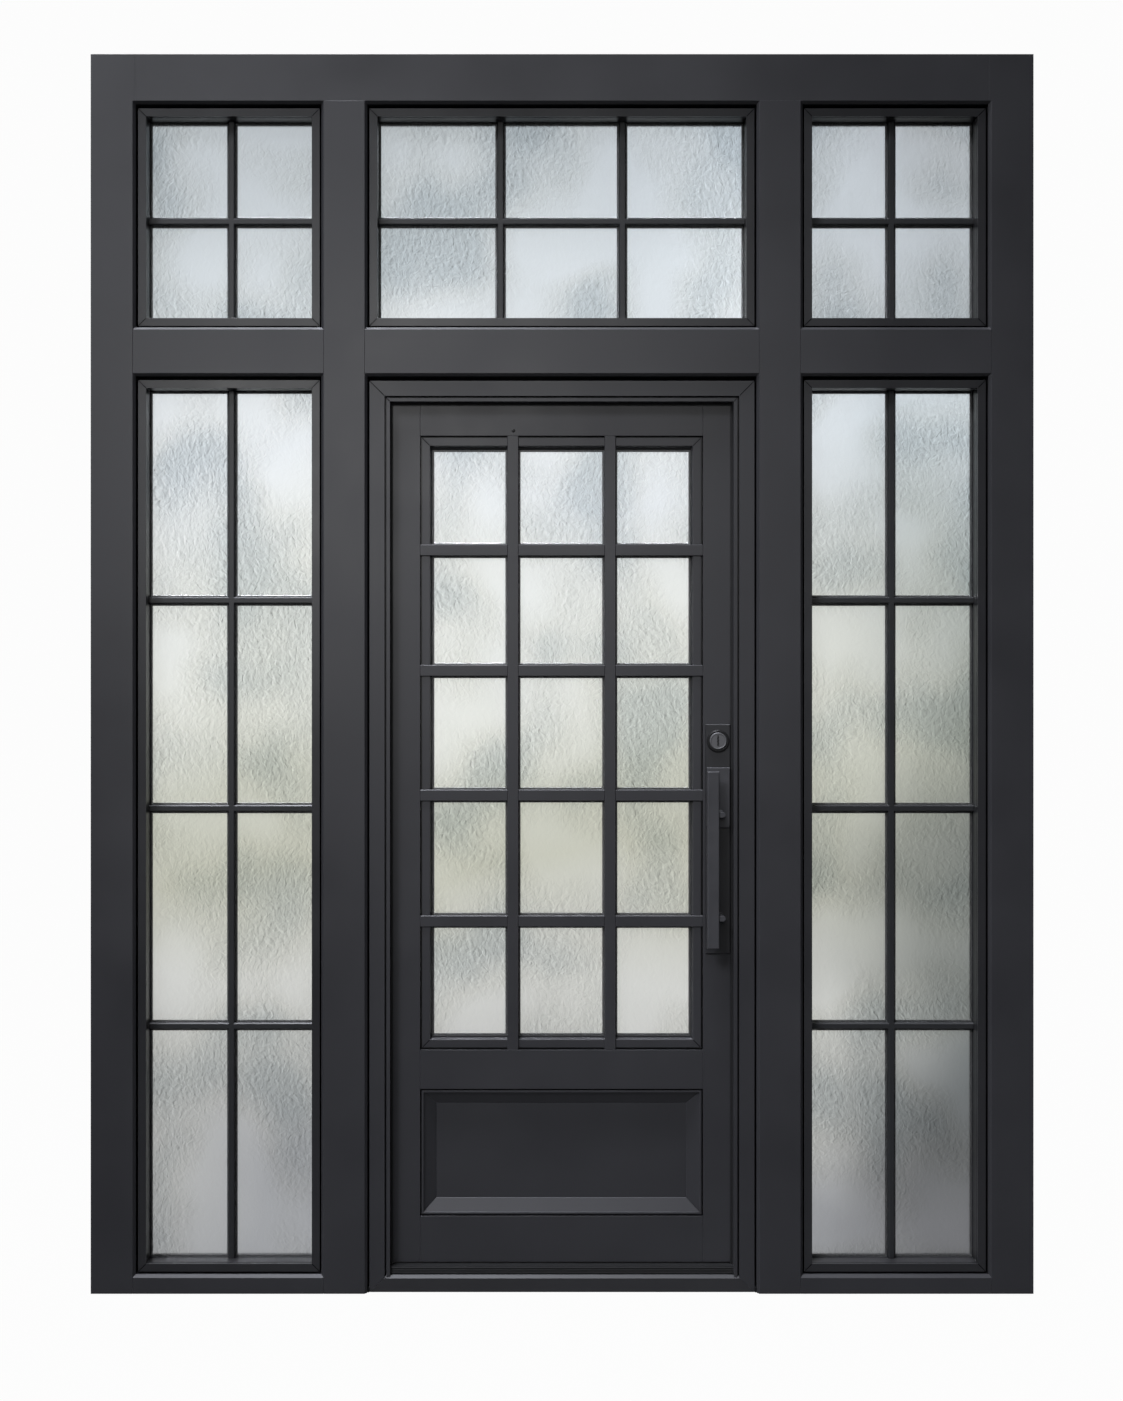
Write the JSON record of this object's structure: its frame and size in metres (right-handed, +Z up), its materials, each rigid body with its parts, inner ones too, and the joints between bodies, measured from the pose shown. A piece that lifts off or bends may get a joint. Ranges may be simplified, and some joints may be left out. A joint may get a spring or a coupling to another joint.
{
  "type": "entrance door with sidelights and transoms",
  "caption": "Glazed and panelled hinged door between barred sidelights, under barred transom lights, with a long pull handle.",
  "frame": {"origin": "middle of the sill's underside, at floor level, midway between the frame's two faces", "axes": "+Z up, +X to the right seen from outdoors, +Y from outdoors to indoors"},
  "size_m": [2.4844, 0.177, 3.267],
  "materials": {
    "frame_paint": "satin charcoal",
    "sash_paint": "satin charcoal",
    "bar_paint": "satin charcoal",
    "leaf_paint": "satin charcoal",
    "sill_paint": "satin charcoal, worn",
    "obscure_glass": "fine hammered obscure",
    "seal_rubber": "matt",
    "hinge_steel": "satin black",
    "handle_black": "satin black",
    "plug_grey": "satin grey"
  },
  "bodies": {
    "root": {"left_jamb": "frame_paint", "right_jamb": "frame_paint", "left_mullion": "frame_paint", "right_mullion": "frame_paint", "head": "frame_paint", "side_transom_rails": "frame_paint", "centre_transom_rail": "frame_paint", "sidelight_bottom_rails": "frame_paint", "left_sidelight_sash": "sash_paint", "right_sidelight_sash": "sash_paint", "left_transom_sash": "sash_paint", "centre_transom_sash": "sash_paint", "right_transom_sash": "sash_paint", "left_sidelight_bars": "bar_paint", "right_sidelight_bars": "bar_paint", "side_transom_bars": "bar_paint", "centre_transom_bars": "bar_paint", "left_sidelight_glass": "obscure_glass", "right_sidelight_glass": "obscure_glass", "left_transom_glass": "obscure_glass", "centre_transom_glass": "obscure_glass", "right_transom_glass": "obscure_glass", "door_frame_left": "frame_paint", "door_frame_right": "frame_paint", "door_frame_head": "frame_paint", "sill": "sill_paint", "door_seal": "seal_rubber", "frame_hinges": "hinge_steel"},
    "leaf": {"hinge_stile": "leaf_paint", "lock_stile": "leaf_paint", "top_rail": "leaf_paint", "lock_rail": "leaf_paint", "bottom_rail": "leaf_paint", "leaf_glass": "obscure_glass", "glazing_beads": "leaf_paint", "leaf_bars": "bar_paint", "leaf_panel": "leaf_paint", "panel_mouldings": "leaf_paint", "leaf_hinges": "hinge_steel", "handle_plate": "handle_black", "handle_block": "handle_black", "pull_bar": "handle_black", "lock_cylinder": "handle_black", "inner_handle": "handle_black"},
    "plug": {"key_plug": "plug_grey"}
  },
  "joints": [
    {"name": "leaf_swing", "type": "hinge", "parent": "root", "child": "leaf", "pos_m": [-0.4595, 0.06, 1.2], "axis": [0, 0, 1], "range_deg": [0, 105]},
    {"name": "key_turn", "type": "hinge", "parent": "leaf", "child": "plug", "pos_m": [0.416, -0.0165, 1.4555], "axis": [0, -1, 0], "range_deg": [-90, 90]}
  ]
}
